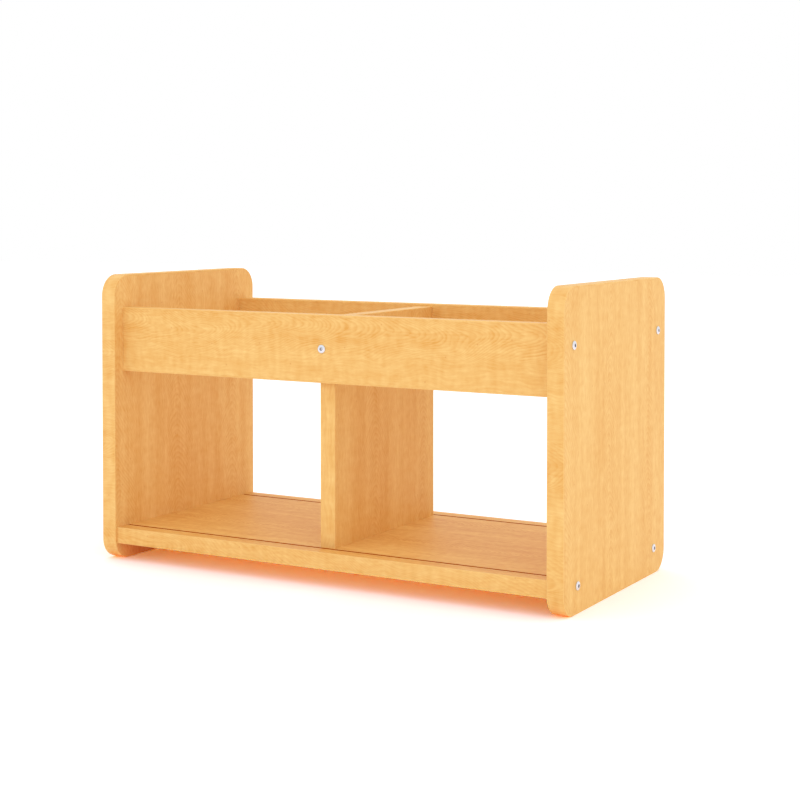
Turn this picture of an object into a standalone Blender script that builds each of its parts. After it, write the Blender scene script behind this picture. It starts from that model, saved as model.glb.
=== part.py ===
"""Toy storage unit: round-cornered end panels carry a grooved base, two top rails and a centre divider.

Lengths are in metres. X runs along the unit, -Y is its front, and Z is up from the floor it stands on.
"""

import math

import bmesh
import bpy
from mathutils import Matrix, Vector

# Overall size, over the outer faces and edges of the end panels
UNIT_WIDTH = 0.600
UNIT_DEPTH = 0.286
UNIT_HEIGHT = 0.340

# Boards
END_THICKNESS = 0.019
END_CORNER_RADIUS = 0.025
RAIL_THICKNESS = 0.016
RAIL_HEIGHT = 0.076
RAIL_TOP = 0.301
RAIL_SETBACK = 0.016
BASE_THICKNESS = 0.019
BASE_UNDERSIDE = 0.020
BASE_SETBACK = 0.0035
DIVIDER_THICKNESS = 0.019
DIVIDER_SETBACK = 0.028
DIVIDER_DROP = 0.003

# Grooves in the base, one on the mid-plane of each rail
GROOVE_WIDTH = 0.004
GROOVE_DEPTH = 0.006

# Edge bands, glued round the bare edges of the boards
BAND_THICKNESS = 0.002
BAND_EASE = 0.001

# Screws, with a domed head and a hexagon socket
SCREW_HEAD_DIAMETER = 0.0096
SCREW_HEAD_HEIGHT = 0.0022
SCREW_HEAD_RIM = 0.0009
SCREW_DIAMETER = 0.0066
SCREW_LENGTH = 0.048
SCREW_POINT = 0.005
SCREW_POINT_DIAMETER = 0.003
SOCKET_ACROSS_FLATS = 0.004
SOCKET_DEPTH = 0.0016

# Where the screws go in
RAIL_SCREW_BELOW_TOP = 0.022
BASE_SCREW_INSET = 0.035
DIVIDER_SCREW_INSET = 0.075

# Wooden dowels in the rail ends
DOWEL_DIAMETER = 0.008
DOWEL_LENGTH = 0.032
DOWEL_CHAMFER = 0.001
DOWEL_IN_END_PANEL = 0.012
DOWEL_ABOVE_RAIL_BOTTOM = 0.022

# Clearances: between pieces that touch, and past the end of a blind hole
FIT_GAP = 0.0003
HOLE_END_GAP = 0.001
CUT_OVERRUN = 0.005

# Facets of round shapes, and how meshes are welded and read
CORNER_STEPS = 12
EASE_STEPS = 2
EASE_PROFILE = 0.5
TURNED_STEPS = 24
DOME_STEPS = 4
HOLE_STEPS = 24
WELD = 0.00001
SHARP_ANGLE = math.radians(40)
FLAT_SIDE = 0.5
SOCKET_SIDES = 6

# Places that follow from the sizes above
END_INNER_X = UNIT_WIDTH / 2 - END_THICKNESS
SPAN_X = END_INNER_X - FIT_GAP
RAIL_OUTER_Y = UNIT_DEPTH / 2 - RAIL_SETBACK
RAIL_MID_Y = RAIL_OUTER_Y - RAIL_THICKNESS / 2
RAIL_INNER_Y = RAIL_OUTER_Y - RAIL_THICKNESS
RAIL_BOTTOM = RAIL_TOP - RAIL_HEIGHT
BASE_TOP = BASE_UNDERSIDE + BASE_THICKNESS
BASE_EDGE_Y = UNIT_DEPTH / 2 - BASE_SETBACK
DIVIDER_EDGE_Y = UNIT_DEPTH / 2 - DIVIDER_SETBACK
DIVIDER_TOP = RAIL_TOP - DIVIDER_DROP
BAND_AND_GLUE = BAND_THICKNESS + FIT_GAP

# Turns a plate drawn in its own XY plane so that X is the unit's depth and Y its height
UPRIGHT = (math.pi / 2, 0, math.pi / 2)

# Finishes, each as colour, roughness and metallic value
LAMINATE_FINISH = ((0.93, 0.54, 0.19, 1), 0.45, 0)
BAND_FINISH = ((0.90, 0.52, 0.19, 1), 0.45, 0)
ZINC_FINISH = ((0.80, 0.81, 0.83, 1), 0.25, 1)
BEECH_FINISH = ((0.72, 0.50, 0.28, 1), 0.70, 0)


def clear_scene():
    for obj in list(bpy.data.objects):
        bpy.data.objects.remove(obj, do_unlink=True)


def new_collection(name):
    collection = bpy.data.collections.new(name)
    bpy.context.scene.collection.children.link(collection)
    return collection


def new_material(name, finish):
    colour, roughness, metallic = finish
    material = bpy.data.materials.new(name)
    material.use_nodes = True
    shader = material.node_tree.nodes["Principled BSDF"]
    shader.inputs["Base Color"].default_value = colour
    shader.inputs["Roughness"].default_value = roughness
    shader.inputs["Metallic"].default_value = metallic
    material.diffuse_color = colour
    return material


clear_scene()
PARTS = new_collection("toy_storage_unit")
CUTTERS = new_collection("toy_storage_unit_cutters")


def place(name, mesh, location, material, rotation=(0, 0, 0)):
    """A sub-part: its own object, in the unit's collection."""
    part = bpy.data.objects.new(name, mesh)
    part.location = location
    part.rotation_euler = rotation
    if not mesh.materials:
        mesh.materials.append(material)
    PARTS.objects.link(part)
    return part


def cutter(name, mesh, location, rotation=(0, 0, 0)):
    tool = bpy.data.objects.new(name, mesh)
    tool.location = location
    tool.rotation_euler = rotation
    tool.hide_render = True
    tool.display_type = "WIRE"
    CUTTERS.objects.link(tool)
    return tool


def cut(board, tool):
    boolean = board.modifiers.new(tool.name, "BOOLEAN")
    boolean.operation = "DIFFERENCE"
    boolean.solver = "EXACT"
    boolean.object = tool


def finished(shape, name):
    """The evaluated mesh of a construction object, welded, with the object itself removed."""
    graph = bpy.context.evaluated_depsgraph_get()
    mesh = bpy.data.meshes.new_from_object(shape.evaluated_get(graph))
    mesh.name = name
    bpy.data.objects.remove(shape, do_unlink=True)
    bm = bmesh.new()
    bm.from_mesh(mesh)
    bmesh.ops.remove_doubles(bm, verts=bm.verts, dist=WELD)
    bm.to_mesh(mesh)
    bm.free()
    return mesh


def box_mesh(name, size):
    bm = bmesh.new()
    bmesh.ops.create_cube(bm, size=1, matrix=Matrix.Diagonal((*size, 1)))
    mesh = bpy.data.meshes.new(name)
    bm.to_mesh(mesh)
    bm.free()
    return mesh


def middle_and_size(low, high):
    low = Vector(low)
    high = Vector(high)
    return (low + high) / 2, high - low


def board(name, low, high, material):
    """A plain board between two opposite corners."""
    middle, size = middle_and_size(low, high)
    return place(name, box_mesh(name, size), middle, material)


def ease(bm, edges):
    bmesh.ops.bevel(
        bm,
        geom=edges,
        offset=min(BAND_EASE, BAND_THICKNESS / 2),
        segments=EASE_STEPS,
        profile=EASE_PROFILE,
        affect="EDGES",
    )


def edge_band(name, low, high, along, outward, material):
    """A straight strip between two corners, eased on the long edges of its outward side.

    along is the strip's long axis, 0 to 2, and outward is (axis, sign) of the side that shows.
    """
    middle, size = middle_and_size(low, high)
    axis, sign = outward
    mesh = box_mesh(name, size)
    bm = bmesh.new()
    bm.from_mesh(mesh)
    outer = [
        edge
        for edge in bm.edges
        if all(vert.co[axis] * sign > 0 for vert in edge.verts)
        and edge.verts[0].co[along] * edge.verts[1].co[along] < 0
    ]
    ease(bm, outer)
    bm.to_mesh(mesh)
    bm.free()
    return place(name, mesh, middle, material)


def rounded_outline(inset):
    """Points round an end panel's edge, drawn in by inset, as (depth, height)."""
    radius = max(END_CORNER_RADIUS - inset, WELD)
    right = UNIT_DEPTH / 2 - inset - radius
    low = inset + radius
    high = UNIT_HEIGHT - inset - radius
    centres = ((right, high), (-right, high), (-right, low), (right, low))
    points = []
    for quarter, (y, z) in enumerate(centres):
        for step in range(CORNER_STEPS + 1):
            angle = math.pi / 2 * (quarter + step / CORNER_STEPS)
            points.append((y + radius * math.cos(angle), z + radius * math.sin(angle)))
    return points


def plate_mesh(name, outlines, thickness):
    """A flat plate of the given outline, with any further outline as a hole through it."""
    curve = bpy.data.curves.new(name, "CURVE")
    curve.dimensions = "2D"
    curve.fill_mode = "BOTH"
    curve.extrude = thickness / 2
    for outline in outlines:
        spline = curve.splines.new("POLY")
        spline.points.add(len(outline) - 1)
        for point, (x, y) in zip(spline.points, outline):
            point.co = (x, y, 0, 1)
        spline.use_cyclic_u = True
    shape = bpy.data.objects.new(name, curve)
    CUTTERS.objects.link(shape)
    return finished(shape, name)


def outer_rims(bm, middle):
    """The edges of a flat ring where its outward wall meets its two flat sides."""
    rims = []
    for edge in bm.edges:
        walls = [face for face in edge.link_faces if abs(face.normal.z) < FLAT_SIDE]
        if len(walls) == 1:
            outward = (edge.verts[0].co - middle).dot(walls[0].normal)
            if outward > 0:
                rims.append(edge)
    return rims


def end_panel(side, sign):
    """An upright board at one end of the unit, and the band glued round its edge."""
    x = sign * (UNIT_WIDTH - END_THICKNESS) / 2
    core = plate_mesh(f"{side}_end_panel", [rounded_outline(BAND_AND_GLUE)], END_THICKNESS)
    panel = place(f"{side}_end_panel", core, (x, 0, 0), LAMINATE, UPRIGHT)
    outlines = [rounded_outline(0), rounded_outline(BAND_THICKNESS)]
    ring = plate_mesh(f"{side}_end_edge_band", outlines, END_THICKNESS)
    bm = bmesh.new()
    bm.from_mesh(ring)
    ease(bm, outer_rims(bm, Vector((0, UNIT_HEIGHT / 2, 0))))
    bm.to_mesh(ring)
    bm.free()
    place(f"{side}_end_edge_band", ring, (x, 0, 0), BAND, UPRIGHT)
    return panel


def top_rail(end, sign):
    """A board on edge between the end panels, banded along its upper and lower edges."""
    y0, y1 = sorted((sign * RAIL_INNER_Y, sign * RAIL_OUTER_Y))
    low = (-SPAN_X, y0, RAIL_BOTTOM + BAND_AND_GLUE)
    high = (SPAN_X, y1, RAIL_TOP - BAND_AND_GLUE)
    rail = board(f"{end}_top_rail", low, high, LAMINATE)
    top = ((-SPAN_X, y0, RAIL_TOP - BAND_THICKNESS), (SPAN_X, y1, RAIL_TOP))
    bottom = ((-SPAN_X, y0, RAIL_BOTTOM), (SPAN_X, y1, RAIL_BOTTOM + BAND_THICKNESS))
    edge_band(f"{end}_rail_top_band", *top, 0, (2, 1), BAND)
    edge_band(f"{end}_rail_bottom_band", *bottom, 0, (2, -1), BAND)
    return rail


def base():
    """The base board, grooved along its front and rear, with a band on both long edges."""
    core_y = BASE_EDGE_Y - BAND_AND_GLUE
    panel = board("base_board", (-SPAN_X, -core_y, BASE_UNDERSIDE), (SPAN_X, core_y, BASE_TOP), LAMINATE)
    groove = (2 * (SPAN_X + CUT_OVERRUN), GROOVE_WIDTH, GROOVE_DEPTH + CUT_OVERRUN)
    groove_z = BASE_TOP - GROOVE_DEPTH + groove[2] / 2
    for end, sign in (("front", -1), ("rear", 1)):
        tool = cutter(f"{end}_groove_cutter", box_mesh("groove", groove), (0, sign * RAIL_MID_Y, groove_z))
        cut(panel, tool)
        y0, y1 = sorted((sign * (BASE_EDGE_Y - BAND_THICKNESS), sign * BASE_EDGE_Y))
        strip = ((-SPAN_X, y0, BASE_UNDERSIDE), (SPAN_X, y1, BASE_TOP))
        edge_band(f"base_{end}_band", *strip, 0, (1, sign), BAND)
    return panel


def divider():
    """The centre divider, notched round the rails, with bands on the edges that show."""
    lower = DIVIDER_EDGE_Y - BAND_AND_GLUE
    upper = RAIL_INNER_Y - FIT_GAP
    foot = BASE_TOP + FIT_GAP
    shoulder = RAIL_BOTTOM - FIT_GAP
    head = DIVIDER_TOP - BAND_AND_GLUE
    half_outline = [(lower, foot), (lower, shoulder), (upper, shoulder), (upper, head)]
    outline = half_outline + [(-y, z) for y, z in reversed(half_outline)]
    mesh = plate_mesh("centre_divider", [outline], DIVIDER_THICKNESS)
    panel = place("centre_divider", mesh, (0, 0, 0), LAMINATE, UPRIGHT)
    half = DIVIDER_THICKNESS / 2
    for end, sign in (("front", -1), ("rear", 1)):
        y0, y1 = sorted((sign * (DIVIDER_EDGE_Y - BAND_THICKNESS), sign * DIVIDER_EDGE_Y))
        edge_band(f"divider_{end}_band", (-half, y0, foot), (half, y1, shoulder), 2, (1, sign), BAND)
    strip = ((-half, -upper, DIVIDER_TOP - BAND_THICKNESS), (half, upper, DIVIDER_TOP))
    edge_band("divider_top_band", *strip, 1, (2, 1), BAND)
    return panel


def turned_mesh(name, profile, socket=None):
    """A shape turned round Z from a profile of (radius, height), top to bottom, less an optional socket."""
    bm = bmesh.new()
    verts = [bm.verts.new((radius, 0, height)) for radius, height in profile]
    for upper, lower in zip(verts, verts[1:]):
        bm.edges.new((upper, lower))
    mesh = bpy.data.meshes.new(name)
    bm.to_mesh(mesh)
    bm.free()
    shape = bpy.data.objects.new(name, mesh)
    CUTTERS.objects.link(shape)
    turn = shape.modifiers.new("turn", "SCREW")
    turn.axis = "Z"
    turn.steps = TURNED_STEPS
    turn.render_steps = TURNED_STEPS
    turn.use_merge_vertices = True
    turn.merge_threshold = WELD
    if socket:
        cut(shape, socket)
    turned = finished(shape, name)
    turned.shade_smooth()
    turned.set_sharp_from_angle(angle=SHARP_ANGLE)
    return turned


def round_bar_mesh(name, radius, length, steps):
    """A cylinder along Z, centred on its origin."""
    bm = bmesh.new()
    bmesh.ops.create_cone(
        bm, cap_ends=True, segments=steps, radius1=radius, radius2=radius, depth=length
    )
    mesh = bpy.data.meshes.new(name)
    bm.to_mesh(mesh)
    bm.free()
    return mesh


def screw_mesh():
    """The screw, with its origin under the head and its point towards -Z."""
    head = SCREW_HEAD_DIAMETER / 2
    shank = SCREW_DIAMETER / 2
    dome = []
    for step in range(DOME_STEPS + 1):
        angle = math.pi / 2 * step / DOME_STEPS
        rise = (SCREW_HEAD_HEIGHT - SCREW_HEAD_RIM) * math.cos(angle)
        dome.append((head * math.sin(angle), SCREW_HEAD_RIM + rise))
    profile = dome + [
        (head, 0),
        (shank, 0),
        (shank, SCREW_POINT - SCREW_LENGTH),
        (SCREW_POINT_DIAMETER / 2, -SCREW_LENGTH),
        (0, -SCREW_LENGTH),
    ]
    across_corners = SOCKET_ACROSS_FLATS / math.cos(math.pi / SOCKET_SIDES)
    depth = SOCKET_DEPTH + CUT_OVERRUN
    hexagon = round_bar_mesh("hexagon", across_corners / 2, depth, SOCKET_SIDES)
    socket = cutter("socket_cutter", hexagon, (0, 0, SCREW_HEAD_HEIGHT - SOCKET_DEPTH + depth / 2))
    return turned_mesh("screw", profile, socket)


def dowel_mesh():
    radius = DOWEL_DIAMETER / 2
    half = DOWEL_LENGTH / 2
    profile = [
        (0, half),
        (radius - DOWEL_CHAMFER, half),
        (radius, half - DOWEL_CHAMFER),
        (radius, DOWEL_CHAMFER - half),
        (radius - DOWEL_CHAMFER, -half),
        (0, -half),
    ]
    return turned_mesh("dowel", profile)


def facing(direction):
    """The rotation that turns +Z to a direction."""
    return Vector(direction).to_track_quat("Z", "Y").to_euler()


def hole(name, boards, middle, direction, diameter, length):
    """One round cutter along a direction, taken out of each of the boards."""
    drill = round_bar_mesh(name, diameter / 2 + FIT_GAP, length, HOLE_STEPS)
    tool = cutter(f"{name}_cutter", drill, middle, facing(direction))
    for piece in boards:
        cut(piece, tool)


def drive_screw(name, seat, outward, boards):
    """A screw whose head bears on the face at seat, driven through the first board into the second."""
    seat = Vector(seat)
    outward = Vector(outward)
    place(name, SCREW, seat + outward * FIT_GAP, ZINC, facing(outward))
    length = SCREW_LENGTH + HOLE_END_GAP + CUT_OVERRUN
    middle = seat + outward * (CUT_OVERRUN - length / 2)
    hole(name, boards, middle, outward, SCREW_DIAMETER, length)


def plug_dowel(name, joint, outward, boards):
    """A dowel across the joint between an end panel, on the outward side, and a rail end."""
    joint = Vector(joint)
    outward = Vector(outward)
    middle = joint + outward * (DOWEL_IN_END_PANEL - DOWEL_LENGTH / 2)
    place(name, DOWEL, middle, BEECH, facing(outward))
    hole(name, boards, middle, outward, DOWEL_DIAMETER, DOWEL_LENGTH + 2 * HOLE_END_GAP)


LAMINATE = new_material("maple_laminate", LAMINATE_FINISH)
BAND = new_material("maple_edge_band", BAND_FINISH)
ZINC = new_material("bright_zinc", ZINC_FINISH)
BEECH = new_material("plain_beech", BEECH_FINISH)

SCREW = screw_mesh()
DOWEL = dowel_mesh()

ends = {"left": end_panel("left", -1), "right": end_panel("right", 1)}
rails = {"front": top_rail("front", -1), "rear": top_rail("rear", 1)}
base_board = base()
centre_divider = divider()

for side, x_sign in (("left", -1), ("right", 1)):
    outward = (x_sign, 0, 0)
    outer_x = x_sign * UNIT_WIDTH / 2
    inner_x = x_sign * END_INNER_X
    for end, y_sign in (("front", -1), ("rear", 1)):
        rail_y = y_sign * RAIL_MID_Y
        base_y = y_sign * (UNIT_DEPTH / 2 - BASE_SCREW_INSET)
        rail_joint = [ends[side], rails[end]]
        rail_seat = (outer_x, rail_y, RAIL_TOP - RAIL_SCREW_BELOW_TOP)
        drive_screw(f"{side}_{end}_rail_screw", rail_seat, outward, rail_joint)
        dowel_at = (inner_x, rail_y, RAIL_BOTTOM + DOWEL_ABOVE_RAIL_BOTTOM)
        plug_dowel(f"{side}_{end}_rail_dowel", dowel_at, outward, rail_joint)
        base_seat = (outer_x, base_y, BASE_UNDERSIDE + BASE_THICKNESS / 2)
        drive_screw(f"{side}_{end}_base_screw", base_seat, outward, [ends[side], base_board])

for end, y_sign in (("front", -1), ("rear", 1)):
    rail_seat = (0, y_sign * RAIL_OUTER_Y, (RAIL_TOP + RAIL_BOTTOM) / 2)
    drive_screw(f"{end}_divider_screw", rail_seat, (0, y_sign, 0), [rails[end], centre_divider])
    foot_seat = (0, y_sign * (UNIT_DEPTH / 2 - DIVIDER_SCREW_INSET), BASE_UNDERSIDE)
    drive_screw(f"{end}_divider_foot_screw", foot_seat, (0, 0, -1), [base_board, centre_divider])
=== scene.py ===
# %% [markdown]
# # A toy storage unit in maple laminate
# Two end panels with round corners hold a grooved base board, two top rails and a centre divider. The
# construction comes as a frame of plain solids. This lesson dresses that frame: every board gets its
# printed laminate, every bare edge its eased band, every screw its plated head, and the unit stands on
# white paper.

# %% Load the frame
import math

import bmesh
import bpy
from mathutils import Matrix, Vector


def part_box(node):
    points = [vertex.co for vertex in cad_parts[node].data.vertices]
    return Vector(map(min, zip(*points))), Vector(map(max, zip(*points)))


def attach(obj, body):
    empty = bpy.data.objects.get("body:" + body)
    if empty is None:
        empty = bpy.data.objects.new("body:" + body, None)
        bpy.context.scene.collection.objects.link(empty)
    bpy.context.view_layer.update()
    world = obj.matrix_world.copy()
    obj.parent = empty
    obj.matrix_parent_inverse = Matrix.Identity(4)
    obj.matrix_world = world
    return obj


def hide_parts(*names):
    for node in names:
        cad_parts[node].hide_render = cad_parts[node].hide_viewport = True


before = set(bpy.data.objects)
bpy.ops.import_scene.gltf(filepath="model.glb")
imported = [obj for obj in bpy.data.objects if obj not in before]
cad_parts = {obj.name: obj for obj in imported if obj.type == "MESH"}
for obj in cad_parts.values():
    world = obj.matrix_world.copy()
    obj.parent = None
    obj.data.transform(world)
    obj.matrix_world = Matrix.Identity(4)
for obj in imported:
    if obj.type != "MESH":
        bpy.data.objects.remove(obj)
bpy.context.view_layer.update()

# %% [markdown]
# ## The camera
# The unit is seen from its right, from just above its rails, through a long lens, and its upright edges
# stay upright. A camera that is tilted down would make them lean, so a lens shift does most of that work,
# as on an architect's lens. What is left of the tilt leans them by about one pixel, and it keeps the
# shift small.

# %% Camera
LENS_MM = 73.49
LENS_SHIFT = -0.18
CAMERA_PLACE = Vector((0.9726, -1.6529, 0.4194))
CAMERA_TURN = math.radians(29.763)
CAMERA_TILT = math.radians(1.686)

camera = bpy.data.objects.new("camera", bpy.data.cameras.new("camera"))
camera.data.lens = LENS_MM
camera.data.shift_y = LENS_SHIFT
camera.location = CAMERA_PLACE
camera.rotation_euler = (math.pi / 2 - CAMERA_TILT, 0, CAMERA_TURN)
bpy.context.scene.collection.objects.link(camera)
bpy.context.scene.camera = camera
print("camera:", round(CAMERA_PLACE.length, 2), "m from the unit")

# %% [markdown]
# ## Shader helpers
# A material is a tree of nodes. One helper adds a node, makes its settings, and links or sets its
# sockets. The others add the arithmetic that joins nodes. They keep the recipes below short enough to
# read.

# %% Node helpers


def add_node(tree, kind, inputs=None, **settings):
    """A shader node of a kind, with its settings made and its sockets linked or set."""
    node = tree.nodes.new(f"ShaderNode{kind}")
    for name, value in settings.items():
        setattr(node, name, value)
    for key, value in (inputs or {}).items():
        if isinstance(value, bpy.types.NodeSocket):
            tree.links.new(value, node.inputs[key])
        else:
            node.inputs[key].default_value = value
    return node


def maths(tree, operation, first, second=0.0):
    return add_node(tree, "Math", {0: first, 1: second}, operation=operation).outputs[0]


def smooth_step(tree, value, low, high):
    """0 below low, 1 above high, and a smooth rise between them."""
    inputs = {"Value": value, "From Min": low, "From Max": high}
    return add_node(tree, "MapRange", inputs, interpolation_type="SMOOTHSTEP").outputs[0]


def blend_colours(tree, factor, first, second):
    """A Mix node set to colours. Its colour sockets are the inputs 6 and 7 and the output 2."""
    inputs = {0: factor, 6: first, 7: second}
    return add_node(tree, "Mix", inputs, data_type="RGBA").outputs[2]


print("helpers: add_node, maths, smooth_step, blend_colours")

# %% [markdown]
# ## Light
# A tent round the unit lights it evenly from every side with warm lamplight. Lamps by themselves would
# each add a highlight and a shadow, and the photograph has neither. The world itself is that tent here.
# To the camera, and in the screw heads, it is plain white. Low down between the boards and the floor,
# light arrives only after many bounces from wood to paper and back. That warms the shadow there, and the
# floor adds a painted glow to it, so the light's paths may be long.

# %% World
TENT_LIGHT = (1.21, 1.11, 1.11, 1)
WHITE = (1, 1, 1, 1)
LIGHT_BOUNCES = 24


def make_world():
    world = bpy.data.worlds.new("white_tent")
    world.use_nodes = True
    tree = world.node_tree
    path = add_node(tree, "LightPath").outputs
    mirrored = maths(tree, "MAXIMUM", path["Is Glossy Ray"], path["Is Transmission Ray"])
    seen = maths(tree, "MAXIMUM", path["Is Camera Ray"], mirrored)
    tree.links.new(blend_colours(tree, seen, TENT_LIGHT, WHITE), tree.nodes["Background"].inputs["Color"])
    return world


bpy.context.scene.world = make_world()
bpy.context.scene.view_settings.view_transform = "Standard"
bpy.context.scene.cycles.max_bounces = LIGHT_BOUNCES
bpy.context.scene.cycles.diffuse_bounces = LIGHT_BOUNCES
print("world: a tent whose light is", TENT_LIGHT[:3])

# %% [markdown]
# ## The floor
# The unit stands on bright white paper that runs out of sight. In the photograph the shadow under the
# unit isn't grey: it is a warm glow, which is strongest beside the feet. A lamp down there would light
# the boards as well. Instead the paper has other colours for other rays, and the Light Path node tells
# them apart. Under the unit the camera sees it in colours above 1 that no real paper has: a painted glow
# in the shadow there, and a stronger painted glow beside the feet, both growing from the front and rear
# edges inwards. Light that bounces up there comes back redder than it arrived, which is painted warm
# light on the boards' undersides, and elsewhere it meets plain pale paper. The screw heads mirror plain
# white. Outside the unit's footprint the camera sees white too, because a brighter paper would eat into
# the unit's outline.

# %% Floor
FLOOR_SIZE = 16.0
FLOOR_BOUNCED = (0.98, 0.98, 0.98, 1)
# Painted light: under the unit the floor sends redder light back onto the boards' undersides than it
# gets.
PAINTED_WARM_BOUNCE_UNDER = (1.21, 0.98, 0.85, 1)
FLOOR_SEEN = (1.18, 1.18, 1.21, 1)
# Painted glow in the shadow under the unit, and a stronger painted glow beside the feet.
PAINTED_GLOW_UNDER = (2.65, 5.2, 2.8, 1)
PAINTED_GLOW_BESIDE_FEET = (2.4, 2.6, 1.2, 1)
DEEP_UNDER = 0.15
FOOT_GLOWS = (0.012, 0.026)
FOOT_MARGIN = 0.001

end_low, end_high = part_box("right_end_edge_band")
FOOT_WIDTH = end_high.x - end_low.x - FOOT_MARGIN


def floor_material():
    material = bpy.data.materials.new("white_paper")
    material.use_nodes = True
    tree = material.node_tree
    tree.nodes.clear()
    path = add_node(tree, "LightPath").outputs
    mirrored = maths(tree, "MAXIMUM", path["Is Glossy Ray"], path["Is Transmission Ray"])
    place = add_node(tree, "TexCoord").outputs["Object"]
    aside = add_node(tree, "VectorMath", {0: place}, operation="ABSOLUTE").outputs[0]
    under = add_node(tree, "VectorMath", {0: tuple(end_high), 1: aside}, operation="SUBTRACT").outputs[0]
    under = add_node(tree, "SeparateXYZ", {0: under}).outputs
    between_ends = maths(tree, "GREATER_THAN", under["X"], FOOT_MARGIN)
    deep = maths(tree, "MULTIPLY", smooth_step(tree, under["Y"], 0.0, DEEP_UNDER), between_ends)
    beside_foot = maths(tree, "LESS_THAN", under["X"], FOOT_WIDTH)
    foot = maths(tree, "MULTIPLY", smooth_step(tree, under["Y"], *FOOT_GLOWS), beside_foot)
    seen = blend_colours(tree, deep, FLOOR_SEEN, PAINTED_GLOW_UNDER)
    seen = blend_colours(tree, maths(tree, "MULTIPLY", foot, between_ends), seen, PAINTED_GLOW_BESIDE_FEET)
    inside = maths(tree, "MULTIPLY", maths(tree, "GREATER_THAN", under["Y"], 0.0), between_ends)
    bounced = blend_colours(tree, inside, FLOOR_BOUNCED, PAINTED_WARM_BOUNCE_UNDER)
    colour = blend_colours(tree, mirrored, bounced, WHITE)
    colour = blend_colours(tree, path["Is Camera Ray"], colour, seen)
    paper = add_node(tree, "BsdfDiffuse", {"Color": colour})
    add_node(tree, "OutputMaterial", {"Surface": paper.outputs[0]})
    return material


def make_floor():
    mesh = bpy.data.meshes.new("floor")
    bm = bmesh.new()
    bmesh.ops.create_grid(bm, size=FLOOR_SIZE / 2)
    bm.to_mesh(mesh)
    bm.free()
    mesh.materials.append(floor_material())
    floor = bpy.data.objects.new("floor", mesh)
    bpy.context.scene.collection.objects.link(floor)


make_floor()
print("floor:", FLOOR_SIZE, "m square")

# %% [markdown]
# ## The maple print
# The boards are faced with a laminate that carries a printed picture of flat-sawn maple: leaves of wood
# side by side, each with nested arches down its middle, a cross figure that shimmers over them, fine
# fibres, broad paler streaks and a few pin knots. An image would be the usual way, but a recipe of noises
# never repeats and stays sharp close up. Each layer is a noise that is drawn out along the grain. Faces
# and edges share the print, so it becomes a node group.

# %% Noises along the grain
GRAIN_MAP = "grain"
NOISE_MEAN = 0.5
FINE_DETAIL = 2.0
PATCH_SIZES = {
    "wander": (0.200, 0.300),
    "drift": (0.090, 0.035),
    "wobble": (0.008, 0.012),
    "broken": (0.040, 0.014),
    "bend": (0.045, 0.030),
    "curl": (0.009, 0.020),
    "fibre": (0.009, 0.002),
    "threads": (0.045, 0.003),
    "streaks": (0.300, 0.017),
}


def patches(tree, grain, layer, detail=1.0):
    """A noise whose patches have a layer's length along the grain and its width across it."""
    length, width = PATCH_SIZES[layer]
    scale = (1 / length, 1 / width, 1)
    drawn_out = add_node(tree, "VectorMath", {0: grain, 1: scale}, operation="MULTIPLY")
    inputs = {"Vector": drawn_out.outputs[0], "Scale": 1.0, "Detail": detail}
    return add_node(tree, "TexNoise", inputs, noise_dimensions="2D").outputs[0]


def weighted(tree, value, middle, weight):
    """How far a value lies from its middle, times a weight."""
    return maths(tree, "MULTIPLY", maths(tree, "SUBTRACT", value, middle), weight)


print("noises:", ", ".join(PATCH_SIZES))

# %% [markdown]
# ## Growth lines
# The arches are drawn as a saw makes them. A log is a nest of cones, so a flat cut shows each ring at its
# distance from the heart plus a share of the way along the log. Towards the sides of a leaf the lines run
# steeper and closer, as they do where the saw meets the rings on edge, and there they fade. A slow noise
# bends the arches and a quick one roughens them. No year is like another, so each line has its own width
# and its own darkness, and within a line the wood grows slowly darker and then suddenly pale.

# %% Growth lines
LEAF_WIDTH = 0.115
LEAF_WANDER = 0.03
RING_WOBBLE = 0.0012
WEATHER_PER_METRE = 70.0
YEAR_SPREAD = 0.003
FAINTEST_YEAR = 0.6
LINE_DARKENS = (0.15, 0.80)
LINE_PALES = (0.80, 1.0)
LINE_BREAKS = (0.15, 0.50)
FLANK_FADES = (0.016, 0.046)
FLANK_LOSS = 0.8
FLANK_STEEPENING = 8.0


def ring_distance(tree, given):
    """How far a place lies from the heart of its log, and how far from the middle of its leaf."""
    grain = given["Grain"]
    place = add_node(tree, "SeparateXYZ", {0: grain}).outputs
    wander = weighted(tree, patches(tree, grain, "wander"), NOISE_MEAN, LEAF_WANDER)
    leaf = maths(tree, "DIVIDE", maths(tree, "ADD", place["Y"], wander), LEAF_WIDTH)
    off_middle = weighted(tree, maths(tree, "FRACT", leaf), 0.5, LEAF_WIDTH)
    to_heart = add_node(tree, "CombineXYZ", {"X": off_middle, "Y": given["Heart"]}).outputs[0]
    ring = add_node(tree, "VectorMath", {0: to_heart}, operation="LENGTH").outputs["Value"]
    along = maths(tree, "MULTIPLY", place["X"], given["Taper"])
    squared = maths(tree, "MULTIPLY", off_middle, off_middle)
    steeper = maths(tree, "MULTIPLY", squared, FLANK_STEEPENING)
    drift = weighted(tree, patches(tree, grain, "drift"), NOISE_MEAN, given["Drift"])
    wobble = weighted(tree, patches(tree, grain, "wobble"), NOISE_MEAN, RING_WOBBLE)
    for part in (along, steeper, drift, wobble):
        ring = maths(tree, "ADD", ring, part)
    return ring, off_middle


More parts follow.
